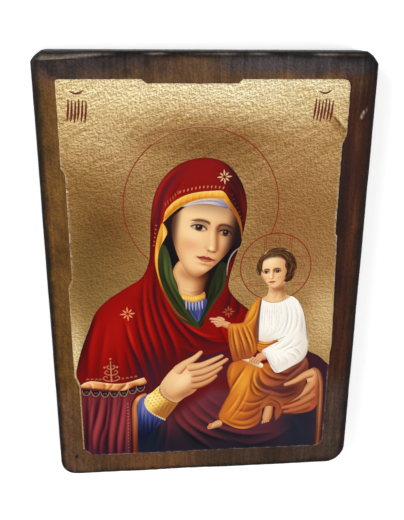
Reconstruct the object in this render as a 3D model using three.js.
// An icon panel: a thick stained softwood board with hand-rounded edges, and a gilded printed icon sheet glued to its face.
// The panel lies on its back. X runs across the picture, Y up the picture and Z out of its face.
// The origin is the middle of the back face. Every length is in millimetres.
import * as THREE from "three";

// The board's blank
const boardWidth = 170;
const boardHeight = 240;
const boardThickness = 22;

// Corners of the blank, seen from the front
const topLeftCornerRadius = 5;
const topRightCornerRadius = 6;
const bottomLeftCornerRadius = 9;
const bottomRightCornerRadius = 12;

// How far each front edge is rubbed over, from the side towards the face
const topEdgeRound = 1.5;
const sideEdgeRound = 2.6;
const bottomEdgeRound = 2.8;

// The top edge falls away towards the left corner, where the plane ran off it
const fallenEdgeRound = 4.6;
const fallenEdgeReach = 20;

// A small bevel breaks the edges of the back
const backBevel = 0.8;

// Bare wood left round the sheet
const leftMargin = 11.2;
const rightMargin = 14;
const topMargin = 13;
const bottomMargin = 13.5;

const sheetThickness = 0.5;

// The sheet's edge is cut back by a step between its corners. Each lobe runs from a corner of the sheet to the step.
const stepDepth = 2;
const topStepSlope = 2.2;
const topLeftLobe = 41.5;
const topRightLobe = 54;
const upperLeftLobe = 43;
const leftRecess = 56;
const lowerLeftStepDepth = 2.3;
const lowerLeftLobe = 46;
const lowerLeftSlope = 7;
const leftStepSlope = 4;
const upperRightLobe = 28;
const upperRightRecess = 48;
const rightNotchDepth = 1;
const rightStepSlope = 4.2;
const lowerRightLobe = 62.5;
const lowerRightBulge = 0.7;

// Corners of the sheet
const sheetTopRadius = 2;
const sheetBottomLeftBevel = 5;
const sheetBottomRightRadius = 7;

// How finely curves are cut into facets
const cornerFacets = 8;
const edgeRoundFacets = 5;
const sideStations = 10;

const woodStain = new THREE.MeshStandardMaterial({ color: 0x4a3323, roughness: 0.55, metalness: 0 });
const gildedPrint = new THREE.MeshStandardMaterial({ color: 0xa98450, roughness: 0.4, metalness: 0.35 });

// One turn round the board, anticlockwise from the right end of the top edge. A station names the corner that it
// turns about by the signs of x and y, the angle that it faces, and how far the front edge is rubbed over there.
function boardStations() {
  const corners = [
    { signX: 1, signY: 1, radius: topRightCornerRadius, from: sideEdgeRound, to: topEdgeRound },
    { signX: -1, signY: 1, radius: topLeftCornerRadius, from: fallenEdgeRound, to: sideEdgeRound },
    { signX: -1, signY: -1, radius: bottomLeftCornerRadius, from: sideEdgeRound, to: bottomEdgeRound },
    { signX: 1, signY: -1, radius: bottomRightCornerRadius, from: bottomEdgeRound, to: sideEdgeRound },
  ];
  const stations = [];
  corners.forEach((corner, turn) => {
    for (let k = 0; k <= cornerFacets; k++) {
      const share = k / cornerFacets;
      stations.push({
        ...corner,
        facing: ((turn + share) * Math.PI) / 2,
        round: THREE.MathUtils.lerp(corner.from, corner.to, share),
      });
    }
    if (turn === 0) stations.push(...fallenEdgeStations(corners[1]));
  });
  return stations;
}

// Stations along the top edge near its left end, where the rounding grows into the corner.
function fallenEdgeStations(corner) {
  const stations = [];
  for (let k = 0; k < sideStations; k++) {
    const share = k / sideStations;
    const grown = THREE.MathUtils.smoothstep(share, 0, 1);
    stations.push({
      ...corner,
      facing: Math.PI / 2,
      along: fallenEdgeReach * (1 - share),
      round: THREE.MathUtils.lerp(topEdgeRound, fallenEdgeRound, grown),
    });
  }
  return stations;
}

// Where a station's point lies when the outline is drawn in by inset.
function insetPoint(station, inset) {
  const radius = station.radius - Math.min(inset, 0.9 * station.radius);
  const centreX = station.signX * (boardWidth / 2 - inset - radius);
  const centreY = station.signY * (boardHeight / 2 - inset - radius);
  return {
    x: centreX + radius * Math.cos(station.facing) + (station.along ?? 0),
    y: centreY + radius * Math.sin(station.facing),
  };
}

// The board as rings of points, each ring one turn round the outline, from the back face to the front face.
function boardGeometry() {
  const stations = boardStations();
  const rings = [
    stations.map((station) => ({ ...insetPoint(station, backBevel), z: 0 })),
    stations.map((station) => ({ ...insetPoint(station, 0), z: backBevel })),
  ];
  for (let k = 0; k <= edgeRoundFacets; k++) {
    const lean = (k / edgeRoundFacets) * (Math.PI / 2);
    rings.push(
      stations.map((station) => ({
        ...insetPoint(station, station.round * (1 - Math.cos(lean))),
        z: boardThickness - station.round * (1 - Math.sin(lean)),
      })),
    );
  }
  return ringedSolid(rings);
}

// A closed solid from rings of equal length, with a fan of triangles over the first and the last.
function ringedSolid(rings) {
  const count = rings[0].length;
  const first = rings[0];
  const last = rings[rings.length - 1];
  const points = rings.flat();
  points.push({ x: 0, y: 0, z: first[0].z }, { x: 0, y: 0, z: last[0].z });
  const backMiddle = points.length - 2;
  const frontMiddle = points.length - 1;
  const triangles = [];
  for (let i = 0; i < count; i++) {
    const next = (i + 1) % count;
    for (let ring = 0; ring < rings.length - 1; ring++) {
      const low = ring * count;
      const high = low + count;
      triangles.push(low + i, low + next, high + next, low + i, high + next, high + i);
    }
    const top = (rings.length - 1) * count;
    triangles.push(backMiddle, next, i, frontMiddle, top + i, top + next);
  }
  const geometry = new THREE.BufferGeometry();
  geometry.setAttribute("position", new THREE.Float32BufferAttribute(points.flatMap((p) => [p.x, p.y, p.z]), 3));
  geometry.setIndex(triangles);
  geometry.computeVertexNormals();
  return geometry;
}

// The sheet's outline, anticlockwise from its bottom left corner, with the steps cut into its edges.
function sheetOutline() {
  const left = -boardWidth / 2 + leftMargin;
  const right = boardWidth / 2 - rightMargin;
  const top = boardHeight / 2 - topMargin;
  const bottom = -boardHeight / 2 + bottomMargin;
  const lowerLeft = left + lowerLeftStepDepth;
  const outline = new THREE.Shape();
  outline.moveTo(lowerLeft, bottom + sheetBottomLeftBevel);
  outline.lineTo(lowerLeft + sheetBottomLeftBevel, bottom);
  outline.lineTo(right - sheetBottomRightRadius, bottom);
  outline.quadraticCurveTo(right, bottom, right, bottom + sheetBottomRightRadius);
  outline.lineTo(right, bottom + lowerRightLobe);
  outline.lineTo(right + lowerRightBulge, bottom + lowerRightLobe + rightStepSlope);
  const notch = top - upperRightLobe - rightStepSlope - upperRightRecess;
  outline.lineTo(right - stepDepth + rightNotchDepth, notch - rightNotchDepth);
  outline.lineTo(right - stepDepth, notch);
  outline.lineTo(right - stepDepth, top - upperRightLobe - rightStepSlope);
  outline.lineTo(right, top - upperRightLobe);
  outline.lineTo(right, top - sheetTopRadius);
  outline.quadraticCurveTo(right, top, right - sheetTopRadius, top);
  outline.lineTo(right - topRightLobe, top);
  outline.lineTo(right - topRightLobe - topStepSlope, top - stepDepth);
  outline.lineTo(left + topLeftLobe + topStepSlope, top - stepDepth);
  outline.lineTo(left + topLeftLobe, top);
  outline.lineTo(left + sheetTopRadius, top);
  outline.quadraticCurveTo(left, top, left, top - sheetTopRadius);
  outline.lineTo(left, top - upperLeftLobe);
  outline.lineTo(left + stepDepth, top - upperLeftLobe - leftStepSlope);
  outline.lineTo(left + stepDepth, top - upperLeftLobe - leftStepSlope - leftRecess);
  outline.lineTo(left, top - upperLeftLobe - 2 * leftStepSlope - leftRecess);
  outline.lineTo(left, bottom + lowerLeftLobe + lowerLeftSlope);
  outline.lineTo(lowerLeft, bottom + lowerLeftLobe);
  outline.closePath();
  return outline;
}

function iconSheet() {
  const geometry = new THREE.ExtrudeGeometry(sheetOutline(), {
    depth: sheetThickness,
    bevelEnabled: false,
    curveSegments: cornerFacets,
  });
  const sheet = new THREE.Mesh(geometry, gildedPrint);
  sheet.name = "icon_sheet";
  sheet.position.z = boardThickness;
  return sheet;
}

function board() {
  const mesh = new THREE.Mesh(boardGeometry(), woodStain);
  mesh.name = "board";
  return mesh;
}

const iconPanel = new THREE.Group();
iconPanel.name = "icon_panel";
iconPanel.add(board(), iconSheet());

export default iconPanel;
